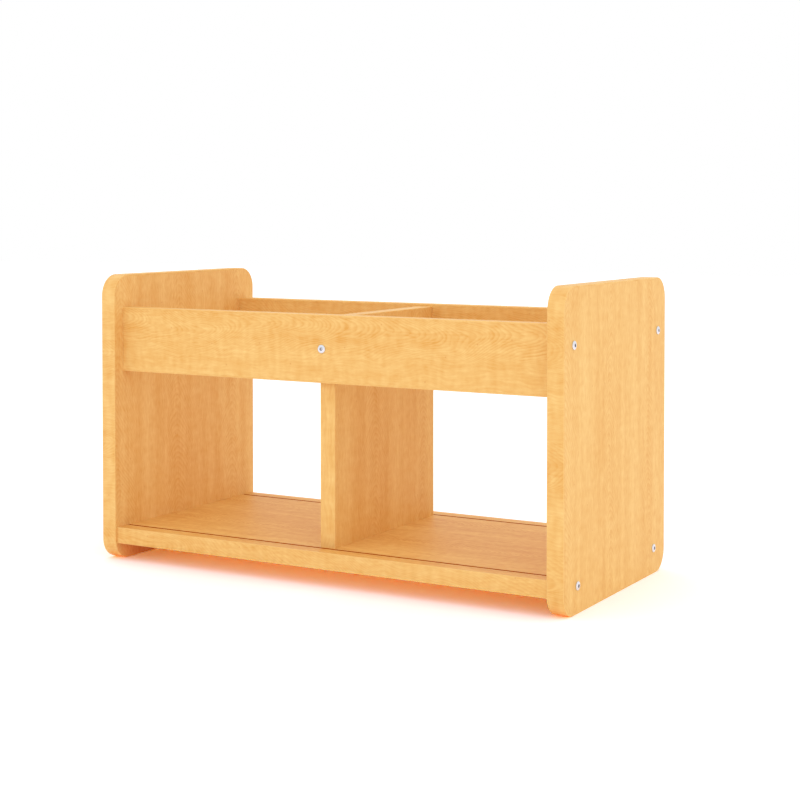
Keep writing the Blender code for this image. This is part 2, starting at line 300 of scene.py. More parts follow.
def growth_lines(tree, given):
    """Nested arches in every leaf, with a line for each year."""
    ring, off_middle = ring_distance(tree, given)
    weather = add_node(tree, "TexNoise", {"W": ring, "Scale": WEATHER_PER_METRE}, noise_dimensions="1D")
    spread = weighted(tree, weather.outputs[0], NOISE_MEAN, YEAR_SPREAD)
    years = maths(tree, "MULTIPLY", maths(tree, "ADD", ring, spread), given["Rings"])
    chance = add_node(tree, "TexWhiteNoise", {"W": maths(tree, "FLOOR", years)}, noise_dimensions="1D")
    year = add_node(tree, "MapRange", {"Value": chance.outputs["Value"], "To Min": FAINTEST_YEAR})
    share = maths(tree, "FRACT", years)
    darker = smooth_step(tree, share, *LINE_DARKENS)
    paler = maths(tree, "SUBTRACT", 1.0, smooth_step(tree, share, *LINE_PALES))
    flank = smooth_step(tree, maths(tree, "ABSOLUTE", off_middle), *FLANK_FADES)
    kept = maths(tree, "SUBTRACT", 1.0, maths(tree, "MULTIPLY", flank, FLANK_LOSS))
    broken = smooth_step(tree, patches(tree, given["Grain"], "broken"), *LINE_BREAKS)
    strength = maths(tree, "MULTIPLY", maths(tree, "MULTIPLY", kept, broken), year.outputs[0])
    return maths(tree, "MULTIPLY", maths(tree, "MULTIPLY", darker, paler), strength)


print("growth lines: leaves of wood", LEAF_WIDTH, "m wide")

# %% [markdown]
# ## The print as a node group
# The group adds the layers up to one tone, from dark wood to pale. Its inputs say how the rings lie and
# how strong each layer is, so that a panel, a rail and a narrow edge can each have their own cut of the
# same wood. Fibres aren't straight, so a noise bends the grain that they follow. Besides the tone the
# group puts out a mask of pin knots and a height for the bump.

# %% The print as a node group
MEAN_TONE = 0.5
MEAN_LINE = 0.16
FIBRE_BEND = 0.012
KNOTS_PER_METRE = 16.0
KNOT_FADES = (0.008, 0.02)
PRINT_VALUES = ("Rings", "Taper", "Heart", "Drift", "Lines", "Curl", "Fibre", "Threads", "Streaks")


def new_group(name, inputs, outputs):
    """A node group with its sockets, and the two nodes that stand for them inside it."""
    group = bpy.data.node_groups.new(name, "ShaderNodeTree")
    for label, kind in inputs:
        group.interface.new_socket(label, in_out="INPUT", socket_type=f"NodeSocket{kind}")
    for label, kind in outputs:
        group.interface.new_socket(label, in_out="OUTPUT", socket_type=f"NodeSocket{kind}")
    return group, group.nodes.new("NodeGroupInput").outputs, group.nodes.new("NodeGroupOutput").inputs


def pin_knots(tree, grain):
    """Sparse dots about a millimetre across."""
    inputs = {"Vector": grain, "Scale": KNOTS_PER_METRE, "Randomness": 1.0}
    spread = add_node(tree, "TexVoronoi", inputs, voronoi_dimensions="2D").outputs["Distance"]
    return maths(tree, "SUBTRACT", 1.0, smooth_step(tree, spread, *KNOT_FADES))


def maple_print():
    inputs = [("Grain", "Vector")] + [(label, "Float") for label in PRINT_VALUES]
    outputs = [("Tone", "Float"), ("Knots", "Float"), ("Height", "Float")]
    group, given, result = new_group("maple_print", inputs, outputs)
    grain = given["Grain"]
    lines = growth_lines(group, given)
    bend = weighted(group, patches(group, grain, "bend"), NOISE_MEAN, FIBRE_BEND)
    bend = add_node(group, "CombineXYZ", {"Y": bend}).outputs[0]
    bent = add_node(group, "VectorMath", {0: grain, 1: bend}, operation="ADD").outputs[0]
    layers = {
        "Curl": patches(group, grain, "curl"),
        "Fibre": patches(group, bent, "fibre", FINE_DETAIL),
        "Threads": patches(group, bent, "threads", FINE_DETAIL),
        "Streaks": patches(group, grain, "streaks"),
    }
    tone = maths(group, "SUBTRACT", MEAN_TONE, weighted(group, lines, MEAN_LINE, given["Lines"]))
    for label, layer in layers.items():
        tone = maths(group, "ADD", tone, weighted(group, layer, NOISE_MEAN, given[label]))
    group.links.new(tone, result["Tone"])
    group.links.new(pin_knots(group, grain), result["Knots"])
    group.links.new(maths(group, "SUBTRACT", layers["Fibre"], lines), result["Height"])
    return group


MAPLE_PRINT = maple_print()
print("maple print:", len(MAPLE_PRINT.nodes), "nodes")

# %% [markdown]
# ## Laminate and edge band
# The laminate is a satin plastic film over the print, and the band is a 2 mm strip of the same print, so
# both are one recipe with their own values. The dark lines are redder than the pale wood between them,
# which is why the colour runs between two woods and isn't one colour made darker. Where the band's
# corners were scraped round, the plastic shows a little paler, and that place comes from a mark that its
# mesh carries. Toys have rubbed the base along its length, so its sheen is drawn out along the grain. The
# Tangent node gives it that direction.

# %% Wood materials
PALE_MAPLE = (0.885, 0.645, 0.251)
DARK_MAPLE = (0.725, 0.383, 0.088)
KNOT_BROWN = (0.64, 0.28, 0.07, 1)
SCRAPED_MAPLE = (0.85, 0.58, 0.21, 1)
KNOT_SHARE = 0.45
SCRAPE_MARK = "scraped"
SATIN = {"roughness": 0.46, "gloss": 0.12, "drawn_out": 0.0}
RUBBED = {"roughness": 0.52, "gloss": 0.17, "drawn_out": 0.5}
SATIN_SPREAD = 0.08
GRAIN_DEPTH = 0.00004
GRAIN_STRENGTH = 0.5


def new_material(name):
    material = bpy.data.materials.new(name)
    material.use_nodes = True
    return material, material.node_tree, material.node_tree.nodes["Principled BSDF"].inputs


def wood_material(name, grain_from, pale, dark, print_values, sheen, scraped=False):
    """Printed wood: grain_from adds the node that says where the grain runs, and returns its socket."""
    material, tree, shader = new_material(name)
    wood = add_node(tree, "Group", node_tree=MAPLE_PRINT)
    tree.links.new(grain_from(tree), wood.inputs["Grain"])
    for label, value in print_values.items():
        wood.inputs[label].default_value = value
    colour = blend_colours(tree, wood.outputs["Tone"], dark, pale)
    knots = maths(tree, "MULTIPLY", wood.outputs["Knots"], KNOT_SHARE)
    colour = blend_colours(tree, knots, colour, KNOT_BROWN)
    if scraped:
        mark = add_node(tree, "Attribute", attribute_name=SCRAPE_MARK).outputs["Fac"]
        colour = blend_colours(tree, mark, colour, SCRAPED_MAPLE)
    tree.links.new(colour, shader["Base Color"])
    shader["Specular IOR Level"].default_value = sheen["gloss"]
    if sheen["drawn_out"]:
        shader["Anisotropic"].default_value = sheen["drawn_out"]
        tangent = add_node(tree, "Tangent", direction_type="UV_MAP", uv_map=GRAIN_MAP)
        tree.links.new(tangent.outputs[0], shader["Tangent"])
    spread = maths(tree, "MULTIPLY", wood.outputs["Tone"], SATIN_SPREAD)
    tree.links.new(maths(tree, "ADD", spread, sheen["roughness"] - SATIN_SPREAD / 2), shader["Roughness"])
    relief = {"Height": wood.outputs["Height"], "Distance": GRAIN_DEPTH, "Strength": GRAIN_STRENGTH}
    tree.links.new(add_node(tree, "Bump", relief).outputs[0], shader["Normal"])
    return material


def from_grain_map(tree):
    return add_node(tree, "UVMap", uv_map=GRAIN_MAP).outputs[0]


def from_place(tree):
    return add_node(tree, "TexCoord").outputs["Object"]


print("finishes: roughness", SATIN["roughness"], "satin and", RUBBED["roughness"], "rubbed")

# %% [markdown]
# ## One sheet for each board
# Each board was cut from its own sheet, and the sheets' prints differ in how the log was cut. Their
# colours differ by a tint, and that tint is painted shade: the boards inside the unit are tinted darker
# than the right panel and the front rail, and the base darkest and least blue. Rings is the number of
# years in a metre of growth. Taper is the share of the way along the log that counts as distance from
# the heart. Heart is how deep the heart lies under the cut, so a small one makes pointed arches. Drift
# is how far the slow noise moves a line. The other values are the strengths of the layers.

# %% Sheets
PANEL_PRINT = {
    "Rings": 190.0,
    "Taper": 0.75,
    "Heart": 0.004,
    "Drift": 0.014,
    "Lines": 0.26,
    "Curl": 0.3,
    "Fibre": 0.6,
    "Threads": 0.4,
    "Streaks": 0.6,
}
RAIL_PRINT = {
    "Rings": 320.0,
    "Taper": 0.38,
    "Heart": 0.007,
    "Drift": 0.024,
    "Lines": 0.30,
    "Curl": 0.5,
    "Fibre": 0.4,
    "Threads": 0.5,
    "Streaks": 0.4,
}
BASE_PRINT = {**PANEL_PRINT, "Lines": 0.42, "Fibre": 1.0, "Threads": 1.0}
BAND_PRINT = {**RAIL_PRINT, "Lines": 0.22}
UNSHADED_TINT = (1.0, 1.0, 1.0)
PAINTED_SHADE_TINT = (0.96, 0.935, 0.90)
# The tints are painted shade: the boards inside the unit are darker, the base darkest and least blue.
SHEETS = {
    "right_end_panel": (PANEL_PRINT, UNSHADED_TINT, SATIN),
    "front_top_rail": (RAIL_PRINT, UNSHADED_TINT, SATIN),
    "left_end_panel": (PANEL_PRINT, (0.985, 0.96, 0.97), SATIN),
    "centre_divider": (PANEL_PRINT, PAINTED_SHADE_TINT, SATIN),
    "rear_top_rail": (RAIL_PRINT, PAINTED_SHADE_TINT, SATIN),
    "base_board": (BASE_PRINT, (0.955, 0.865, 0.72), RUBBED),
}


def tinted(colour, tint):
    return tuple(part * share for part, share in zip(colour, tint)) + (1,)


LAMINATES = {}
for node, (print_values, tint, sheen) in SHEETS.items():
    woods = (tinted(PALE_MAPLE, tint), tinted(DARK_MAPLE, tint))
    LAMINATES[node] = wood_material(f"{node}_print", from_grain_map, *woods, print_values, sheen)
woods = (tinted(PALE_MAPLE, UNSHADED_TINT), tinted(DARK_MAPLE, UNSHADED_TINT))
BAND = wood_material("edge_band_print", from_grain_map, *woods, BAND_PRINT, SATIN, scraped=True)
print("wood:", len(LAMINATES), "sheets and", BAND.name)

# %% [markdown]
# ## A band's profile
# An edge band is a thin strip. It is glued on flush, and a scraper then eases its two outer corners. The
# profile is the strip's outline as it would show at a cut end. Each of its points carries a mark that
# says how much of the scraper's round it lies on, and the band's material shows that mark as paler
# plastic.

# %% A band's profile
EASE_STEPS = 5


def band_profile(width, thickness, ease):
    """Points (across, inset) from one inner corner over the outer side to the other, and their marks."""
    half = width / 2
    turn = []
    for step in range(EASE_STEPS + 1):
        angle = math.pi / 2 * step / EASE_STEPS
        turn.append((half - ease + ease * math.sin(angle), ease - ease * math.cos(angle)))
    right = turn + [(half, thickness)]
    left = [(-across, inset) for across, inset in reversed(right)]
    bend = [math.sin(math.pi * step / EASE_STEPS) for step in range(EASE_STEPS + 1)]
    marks = [0.0] + bend + bend + [0.0]
    return left + right, marks


print("profile: corners eased in", EASE_STEPS, "steps")

# %% [markdown]
# ## One profile carried along a line
# A box with a bevel would do for a straight band, but not for the one that runs right round an end panel.
# So the profile is carried along a row of stations, each with its outward direction, and that makes both
# kinds. The grain map is written as the faces are made: along the strip and across it, in metres, so that
# the print follows the strip round its corners.

# %% The sweep
FLAT_JOINT = math.radians(35)


def distances(points):
    """How far along a row of points each of them lies."""
    row = [0.0]
    for before, after in zip(points, points[1:]):
        row.append(row[-1] + (Vector(after) - Vector(before)).length)
    return row


def sweep(name, stations, profile, marks, closed, cross_grain, start):
    """A mesh of one profile at every station, where a station is (point, outward, across)."""
    bm = bmesh.new()
    grain = bm.loops.layers.uv.new(GRAIN_MAP)
    scraped = bm.verts.layers.float.new(SCRAPE_MARK)
    rows = []
    for point, outward, across in stations:
        row = [bm.verts.new(point + across * a - outward * inset) for a, inset in profile]
        for vert, mark in zip(row, marks):
            vert[scraped] = mark
        rows.append(row)
    points = [station[0] for station in stations]
    along = distances(points + points[:1] if closed else points)
    girth = distances(profile + profile[:1])
    count = len(profile)
    if closed:
        rows.append(rows[0])
    for s, (row, following) in enumerate(zip(rows, rows[1:])):
        for p in range(count):
            q = (p + 1) % count
            face = bm.faces.new((row[p], following[p], following[q], row[q]))
            places = ((s, p), (s + 1, p), (s + 1, p + 1), (s, p + 1))
            for loop, (i, j) in zip(face.loops, places):
                place = (girth[j], along[i]) if cross_grain else (along[i], girth[j])
                loop[grain].uv = Vector(place) + start
    if not closed:
        for row in (rows[0], rows[-1]):
            cap = bm.faces.new(row)
            for loop, place in zip(cap.loops, profile):
                loop[grain].uv = Vector(place) + start
    bmesh.ops.recalc_face_normals(bm, faces=bm.faces)
    mesh = bpy.data.meshes.new(name)
    bm.to_mesh(mesh)
    bm.free()
    mesh.shade_smooth()
    mesh.set_sharp_from_angle(angle=FLAT_JOINT)
    return mesh


print("sweep: sharp where faces meet at over", round(math.degrees(FLAT_JOINT)), "degrees")

# %% [markdown]
# ## Pieces on the frame
# Each finished piece stands exactly where its solid stands, hides that solid and rides on the unit's one
# body. The solids leave a small gap at every joint. On the real unit screws pull the joints tight, so the
# pieces grow by all but a hairline. Every piece gets its own place on the print, and a table says where
# the middle of a leaf comes to lie on a board.

# %% Placing a piece
GRAIN_STEP = Vector((0.83, 0.37))
OTHER_SIDE = Vector((0.43, 2 * LEAF_WIDTH))
LEAF_ON_PIECE = {
    "front_top_rail": 0.286,
    "rear_top_rail": 0.270,
    "right_end_panel": -0.024,
    "left_end_panel": -0.018,
    "centre_divider": -0.030,
    "base_board": -0.040,
}
HAIRLINE = 0.00003
JOINT_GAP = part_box("right_end_panel")[0].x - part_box("front_top_rail")[1].x
CLOSING = JOINT_GAP - HAIRLINE
grain_starts = {}


def grain_start(name):
    """A part of the print that no other piece uses, with a leaf's middle at the place the table gives."""
    start = GRAIN_STEP * (len(grain_starts) + 1)
    if name in LEAF_ON_PIECE:
        leaves = round(start.y / LEAF_WIDTH) + 0.5
        start.y = leaves * LEAF_WIDTH - LEAF_ON_PIECE[name]
    grain_starts[name] = start
    return start


def put_on(node, finish, mesh, material):
    """The finished piece for a solid of the frame."""
    piece = bpy.data.objects.new(f"{node}_{finish}", mesh)
    if not mesh.materials:
        mesh.materials.append(material)
    bpy.context.scene.collection.objects.link(piece)
    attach(piece, "root")
    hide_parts(node)
    return piece


def even_normals(piece):
    """Flat sides keep flat light beside their rounded corners."""
    piece.modifiers.new("even_normals", "WEIGHTED_NORMAL").keep_sharp = True


print("joints close by", round(CLOSING, 5), "m")

# %% [markdown]
# ## The bands round the end panels
# The end panels' round corners are the unit's signature. The solids draw them with flats, which is enough
# for a simulation, and here they get a true curve with many more stations. The radius is read from the
# frame: it is what the flat top edge lacks on each side. This band was cut across its print, so its
# figure runs over the edge.

# %% End bands
CORNER_STEPS = 28
BAND_EASE = 0.0006
ON_TOP = 0.00001

top_band_low, top_band_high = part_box("front_rail_top_band")
BAND_THICKNESS = top_band_high.z - top_band_low.z
end_points = [vert.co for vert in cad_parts["right_end_edge_band"].data.vertices]
top_reach = max(point.y for point in end_points if point.z > end_high.z - ON_TOP)
CORNER_RADIUS = end_high.y - top_reach


def end_outline():
    """Stations (point, outward) round the outer edge of an end panel, in the plane X = 0."""
    middle = (end_low + end_high) / 2
    reach = (end_high - end_low) / 2
    stations = []
    for quarter, (y_side, z_side) in enumerate(((1, 1), (-1, 1), (-1, -1), (1, -1))):
        y = middle.y + y_side * (reach.y - CORNER_RADIUS)
        z = middle.z + z_side * (reach.z - CORNER_RADIUS)
        for step in range(CORNER_STEPS + 1):
            angle = math.pi / 2 * (quarter + step / CORNER_STEPS)
            outward = Vector((0, math.cos(angle), math.sin(angle)))
            stations.append((Vector((0, y, z)) + outward * CORNER_RADIUS, outward))
    return stations


def end_band(node):
    low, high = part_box(node)
    middle = Vector(((low.x + high.x) / 2, 0, 0))
    profile, marks = band_profile(high.x - low.x, BAND_THICKNESS, BAND_EASE)
    stations = [(middle + point, outward, Vector((1, 0, 0))) for point, outward in end_outline()]
    mesh = sweep(f"{node}_mesh", stations, profile, marks, True, True, grain_start(node))
    even_normals(put_on(node, "eased", mesh, BAND))


for side in ("left", "right"):
    end_band(f"{side}_end_edge_band")
print("end bands: radius", round(CORNER_RADIUS, 4), "m, thickness", round(BAND_THICKNESS, 4), "m")

# %% [markdown]
# ## The straight bands
# The rails are banded above and below, the base at front and rear, and the divider wherever its edge
# shows. Each strip needs only two stations. Its direction, its outward side and its width all come from
# its solid's box.

# %% Straight bands
AXES = (Vector((1, 0, 0)), Vector((0, 1, 0)), Vector((0, 0, 1)))
OUTWARD = {"front": (1, -1), "rear": (1, 1), "top": (2, 1), "bottom": (2, -1)}
STRAIGHT_BANDS = {
    "front_rail_top_band": "top",
    "front_rail_bottom_band": "bottom",
    "rear_rail_top_band": "top",
    "rear_rail_bottom_band": "bottom",
    "base_front_band": "front",
    "base_rear_band": "rear",
    "divider_front_band": "front",
    "divider_rear_band": "rear",
    "divider_top_band": "top",
}


def straight_band(node, faces):
    low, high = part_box(node)
    size = high - low
    axis, sign = OUTWARD[faces]
    along = max(range(3), key=lambda i: size[i])
    across = 3 - axis - along
    outward = AXES[axis] * sign
    outer_middle = (low + high) / 2 + outward * size[axis] / 2
    profile, marks = band_profile(size[across], size[axis], BAND_EASE)
    stations = []
    for end in (-1, 1):
        reach = size[along] / 2 + CLOSING
        stations.append((outer_middle + AXES[along] * end * reach, outward, AXES[across]))
    mesh = sweep(f"{node}_mesh", stations, profile, marks, False, False, grain_start(node))
    even_normals(put_on(node, "eased", mesh, BAND))


for node, faces in STRAIGHT_BANDS.items():
    straight_band(node, faces)
print("straight bands:", len(STRAIGHT_BANDS))

# %% [markdown]
# ## The boards
# Every board is an outline in depth and height, drawn out along the unit's length. That serves the end
# panels and the divider, which are thin that way, and the rails and the base, which are long that way. A
# board reaches right up to its bands, because a glued joint has no gap. Its corners lose a hair's
# breadth, as a file leaves them, except where the outline says that a saw or a router left them crisp.
# The print is laid on in metres, so its figure has the same size on every face.

# %% Board shapes
LENGTHWISE = 0
UPRIGHT = 2
ARRIS = 0.00012
SHARP = math.radians(30)


def board_mesh(name, outline, x_low, x_high, crisp):
    """A board of a (y, z) outline between two places on X. Edges along the crisp points stay sharp."""
    bm = bmesh.new()
    face = bm.faces.new([bm.verts.new((x_low, y, z)) for y, z in outline])
    drawn = bmesh.ops.extrude_face_region(bm, geom=[face])["geom"]
    moved = [item for item in drawn if isinstance(item, bmesh.types.BMVert)]
    bmesh.ops.translate(bm, verts=moved, vec=(x_high - x_low, 0, 0))
    bmesh.ops.recalc_face_normals(bm, faces=bm.faces)
    kept = set()
    for point in crisp:
        kept.update(vert for vert in bm.verts if (vert.co.yz - Vector(point)).length < ARRIS)
    sharp = [edge for edge in bm.edges if edge.calc_face_angle() > SHARP]
    corners = [edge for edge in sharp if not kept.issuperset(edge.verts)]
    bmesh.ops.bevel(bm, geom=corners, offset=ARRIS, segments=1, affect="EDGES")
    mesh = bpy.data.meshes.new(name)
    bm.to_mesh(mesh)
    bm.free()
    return mesh


def lay_print(mesh, along, start):
    """Writes the grain map: along the given axis, and across it in each face's own plane, in metres."""
    grain = mesh.uv_layers.new(name=GRAIN_MAP).uv
    for face in mesh.polygons:
        flat = max(range(3), key=lambda i: abs(face.normal[i]))
        inside = [i for i in range(3) if i != flat]
        u = along if along in inside else inside[0]
        v = inside[0] + inside[1] - u
        shift = start if face.normal[flat] > 0 else start + OTHER_SIDE
        for corner in face.loop_indices:
            place = mesh.vertices[mesh.loops[corner].vertex_index].co
            grain[corner].vector = Vector((place[u], place[v])) + shift


print("boards: corners broken by", ARRIS, "m")

# %% [markdown]
# ## Drilling
# On the bench a board is drilled after it is cut, and it is the same here. Every screw and peg brings its
# own drill bit, a cylinder along its solid, and the bit goes through whatever boards that solid meets. A
# Boolean modifier takes the bit out of the board. Its result becomes the board's mesh, and the bits are
# thrown away.

# %% Drilling
DRILL_STEPS = 32
DRILL_DIAMETERS = {"screw": 0.0072, "dowel": 0.0086}
FASTENERS = [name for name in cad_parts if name.split("_")[-1] in DRILL_DIAMETERS]


def meets(first, second):
    """True if the boxes of two solids overlap."""
    first_low, first_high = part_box(first)
    second_low, second_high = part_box(second)
    return all(first_low[i] < second_high[i] and second_low[i] < first_high[i] for i in range(3))


def drill_bit(fastener):
    """A hidden cylinder along a screw or a peg, a little longer than it."""
    low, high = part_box(fastener)
    size = high - low
    along = max(range(3), key=lambda i: size[i])
    radius = DRILL_DIAMETERS[fastener.split("_")[-1]] / 2
    bm = bmesh.new()
    bmesh.ops.create_cone(
        bm,
        cap_ends=True,
        segments=DRILL_STEPS,
        radius1=radius,
        radius2=radius,
        depth=size[along] + 2 * radius,
    )
    mesh = bpy.data.meshes.new("drill")
    bm.to_mesh(mesh)
    bm.free()
    bit = bpy.data.objects.new("drill", mesh)
    bit.location = (low + high) / 2
    bit.rotation_euler = AXES[along].to_track_quat("Z", "Y").to_euler()
    bpy.context.scene.collection.objects.link(bit)
    return bit


def drilled(mesh, node):
    """The board's mesh with a hole for every screw and peg that meets its solid."""
    board = bpy.data.objects.new("blank", mesh)
    bpy.context.scene.collection.objects.link(board)
    bits = [drill_bit(name) for name in FASTENERS if meets(name, node)]
    for bit in bits:
        hole = board.modifiers.new("hole", "BOOLEAN")
        hole.operation = "DIFFERENCE"
        hole.solver = "EXACT"
        hole.object = bit
    graph = bpy.context.evaluated_depsgraph_get()
    result = bpy.data.meshes.new_from_object(board.evaluated_get(graph))
    for spent in [board] + bits:
        bpy.data.objects.remove(spent, do_unlink=True)
    return result


def board(node, outline, x_low, x_high, along, crisp=()):
    mesh = drilled(board_mesh(f"{node}_mesh", outline, x_low, x_high, crisp), node)
    mesh.name = f"{node}_mesh"
    lay_print(mesh, along, grain_start(node))
    return put_on(node, "faced", mesh, LAMINATES[node])


print("fasteners to drill for:", len(FASTENERS))

# %% [markdown]
# ## The bare core
# Two narrow grooves run along the base under the rails. The router that cut them went through the film,
# so the bare chipboard shows inside. It is coloured much darker and redder than the print, which is
# painted shade in the narrow groove. Its chips are the cells of a Voronoi texture, which colours them and
# roughens the cut.

# %% Bare core
# Painted shade: these dark red colours stand in for the shade inside the narrow grooves.
SHADED_CORE_LIGHT = (0.60, 0.13, 0.010, 1)
SHADED_CORE_DARK = (0.44, 0.08, 0.006, 1)
CORE_CHIPS_PER_METRE = 900.0
CORE_ROUGHNESS = 0.85
CORE_GLOSS = 0.0


def shaded_bare_core():
    """Chipboard where the film has been cut away, coloured dark red as painted shade in the groove."""
    material, tree, shader = new_material("shaded_bare_core")
    grid = {"Vector": from_place(tree), "Scale": CORE_CHIPS_PER_METRE}
    chips = add_node(tree, "TexVoronoi", grid).outputs["Distance"]
    tree.links.new(blend_colours(tree, chips, SHADED_CORE_LIGHT, SHADED_CORE_DARK), shader["Base Color"])
    shader["Roughness"].default_value = CORE_ROUGHNESS
    shader["Specular IOR Level"].default_value = CORE_GLOSS
    bump = add_node(tree, "Bump", {"Height": chips, "Distance": GRAIN_DEPTH})
    tree.links.new(bump.outputs[0], shader["Normal"])
    return material


SHADED_BARE_CORE = shaded_bare_core()
print("core:", SHADED_BARE_CORE.name)

# %% [markdown]
# ## End panels, rails, base and divider
# The grain stands upright on the end panels and the divider, and runs lengthwise on the rails and the
# base. The grooves' lips stay crisp, as the router left them. The divider is wide below the rails and
# narrow between them, and its foot stays sharp, because a rounded one would show as a dark line on the
# base.

# %% Boards
GROOVE_WIDTH = 0.004
GROOVE_DEPTH = 0.006
NEAR = ARRIS / 4


def end_panel(node):
    low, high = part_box(node)
    outline = []
    for point, outward in end_outline():
        inner = point - outward * BAND_THICKNESS
        outline.append((inner.y, inner.z))
    return board(node, outline, low.x, high.x, UPRIGHT)


def rail(end):
    low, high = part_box(f"{end}_top_rail")
    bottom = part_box(f"{end}_rail_bottom_band")[1].z
    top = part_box(f"{end}_rail_top_band")[0].z
    outline = [(low.y, bottom), (high.y, bottom), (high.y, top), (low.y, top)]
    return board(f"{end}_top_rail", outline, low.x - CLOSING, high.x + CLOSING, LENGTHWISE)


def base():
    low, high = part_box("base_board")
    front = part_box("base_front_band")[1].y
    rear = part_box("base_rear_band")[0].y
    grooves = []
    groove_middles = []
    for end in ("rear", "front"):
        rail_low, rail_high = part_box(f"{end}_top_rail")
        middle = (rail_low.y + rail_high.y) / 2
        groove_middles.append(middle)
        floor_z = high.z - GROOVE_DEPTH
        for y in (middle + GROOVE_WIDTH / 2, middle - GROOVE_WIDTH / 2):
            lip = (y, high.z)
            foot = (y, floor_z)
            grooves += [lip, foot] if y > middle else [foot, lip]
    outline = [(front, low.z), (rear, low.z), (rear, high.z)] + grooves + [(front, high.z)]
    piece = board("base_board", outline, low.x - CLOSING, high.x + CLOSING, LENGTHWISE, grooves)
    piece.data.materials.append(SHADED_BARE_CORE)
    for face in piece.data.polygons:
        for middle in groove_middles:
            inside = abs(face.center.y - middle) < GROOVE_WIDTH / 2 + NEAR
            if inside and low.z + ARRIS < face.center.z < high.z - NEAR:
                face.material_index = 1
    return piece


def divider():
    low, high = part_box("centre_divider")
    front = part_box("divider_front_band")[1].y
    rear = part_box("divider_rear_band")[0].y
    band_low, band_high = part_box("divider_top_band")
    foot = low.z - CLOSING
    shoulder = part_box("divider_front_band")[1].z + CLOSING
    top = band_low.z
    neck_front = band_low.y - CLOSING
    neck_rear = band_high.y + CLOSING
    outline = [(front, foot), (rear, foot), (rear, shoulder), (neck_rear, shoulder)]
    outline += [(neck_rear, top), (neck_front, top), (neck_front, shoulder), (front, shoulder)]
    return board("centre_divider", outline, low.x, high.x, UPRIGHT, outline[:2])


boards = [end_panel("left_end_panel"), end_panel("right_end_panel"), rail("front"), rail("rear")]
boards += [base(), divider()]
print("boards:", {piece.name: len(piece.data.polygons) for piece in boards})

# %% [markdown]
# ## The plated screws
# The screws have a low domed head and a hexagon socket. A screw could be cut from a cylinder with a
# hexagon, but a cut leaves long thin faces on a round head. Here the whole screw is one stack of rings
# with the same number of points, so that each ring only joins the next. A plain ring is round, the
# socket's follow a hexagon, and the thread's follow the turn of a helix.

# %% Screw rings
RING_POINTS = 48
SOCKET_SIDES = 6
HEAD_HEIGHT = 0.0022
THREAD_OUTER = 0.0033
THREAD_CORE = 0.0024
THREAD_PITCH = 0.0030
CREST_SHARE = 0.5
POINT_LENGTH = 0.005
POINT_RADIUS = 0.0015

sample_low, sample_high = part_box("right_front_rail_screw")
HEAD_RADIUS = (sample_high.y - sample_low.y) / 2
SHANK_LENGTH = sample_high.x - sample_low.x - HEAD_HEIGHT


def ring(radius_at, height):
    """Points round Z at a height, with a radius that may change with the angle."""
    points = []
    for step in range(RING_POINTS):
        angle = 2 * math.pi * step / RING_POINTS
        radius = radius_at(angle)
        points.append(Vector((radius * math.cos(angle), radius * math.sin(angle), height)))
    return points


def round_ring(radius, height):
    return ring(lambda angle: radius, height)


def socket_ring(flats, height):
    side = 2 * math.pi / SOCKET_SIDES
    return ring(lambda angle: flats / 2 / math.cos(angle % side - side / 2), height)


def thread_ring(height):
    """One turn of a helix: a short crest on the core, tapering away towards the point."""
    taper = min(1, (height + SHANK_LENGTH) / POINT_LENGTH)
    crest = THREAD_OUTER * taper + POINT_RADIUS * (1 - taper)
    core = THREAD_CORE * taper + POINT_RADIUS * (1 - taper)

    def radius_at(angle):
        turn = (height / THREAD_PITCH - angle / (2 * math.pi)) % 1
        return core + (crest - core) * max(0, 1 - abs(turn - 0.5) / (CREST_SHARE / 2))

    return ring(radius_at, height)


print("rings:", RING_POINTS, "points each, head", round(2 * HEAD_RADIUS, 4), "m across")

# %% [markdown]
# ## A screw from its rings
# The rings run from the socket's floor over the dome and down the shank to the point. The dome's rings
# lie closest together at the rim, where it curves most. The shank has a plain neck, because a thread
# there would keep the screw from pulling the boards together.

# %% Screw
SOCKET_FLATS = 0.0034
SOCKET_DEPTH = 0.0016
SOCKET_CHAMFER = 0.0003
HEAD_RIM = 0.0009
RIM_EASE = 0.00025
DOME_STEPS = 8
PLAIN_NECK = 0.014
THREAD_STEPS = 8


def head_height_at(radius):
    """The dome's height at a distance from the screw's axis."""
    return HEAD_RIM + (HEAD_HEIGHT - HEAD_RIM) * math.sqrt(max(0, 1 - (radius / HEAD_RADIUS) ** 2))


def screw_rings():
    mouth = SOCKET_FLATS / 2 / math.cos(math.pi / SOCKET_SIDES) + SOCKET_CHAMFER
    top = head_height_at(mouth)
    rings = [socket_ring(SOCKET_FLATS, HEAD_HEIGHT - SOCKET_DEPTH)]
    rings.append(socket_ring(SOCKET_FLATS, top - SOCKET_CHAMFER))
    for step in range(DOME_STEPS + 1):
        radius = mouth + (HEAD_RADIUS - mouth) * math.sin(math.pi / 2 * step / DOME_STEPS)
        rings.append(round_ring(radius, head_height_at(radius)))
    rings.append(round_ring(HEAD_RADIUS, RIM_EASE))
    rings.append(round_ring(HEAD_RADIUS - RIM_EASE, 0))
    rings.append(round_ring(THREAD_OUTER, 0))
    rings.append(round_ring(THREAD_OUTER, -PLAIN_NECK))
    count = round((SHANK_LENGTH - PLAIN_NECK) / THREAD_PITCH * THREAD_STEPS)
    for step in range(1, count + 1):
        rings.append(thread_ring(-PLAIN_NECK - (SHANK_LENGTH - PLAIN_NECK) * step / count))
    return rings


